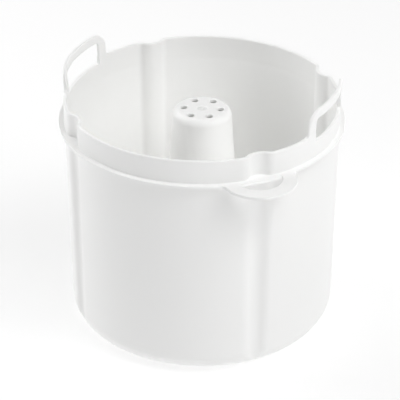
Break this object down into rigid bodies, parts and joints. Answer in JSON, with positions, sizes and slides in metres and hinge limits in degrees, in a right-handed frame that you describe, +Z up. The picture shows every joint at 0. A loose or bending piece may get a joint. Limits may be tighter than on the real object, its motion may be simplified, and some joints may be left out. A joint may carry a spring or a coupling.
{
  "type": "cooking insert pot",
  "caption": "Round fluted plastic cooking pot with a hanging flange, two arch handles, a flat lift loop and a hollow central steam chimney with a drilled cap.",
  "frame": {"origin": "on the pot's axis, in the plane that the pot stands on", "axes": "+Z up along the pot's axis; the two arch handles stand on +X and -X; the lift loop points along +X -Y, at 45 degrees"},
  "size_m": [0.13, 0.13, 0.123],
  "materials": {
    "pot": "satin",
    "handles": "satin",
    "chimney": "satin"
  },
  "bodies": {
    "root": {"pot_wall": "pot", "rim_band": "pot", "flange_ring": "pot", "pot_floor": "pot", "chimney_tube": "chimney", "chimney_cap": "chimney", "left_arch_handle": "handles", "right_arch_handle": "handles", "lift_loop": "handles"}
  },
  "joints": []
}
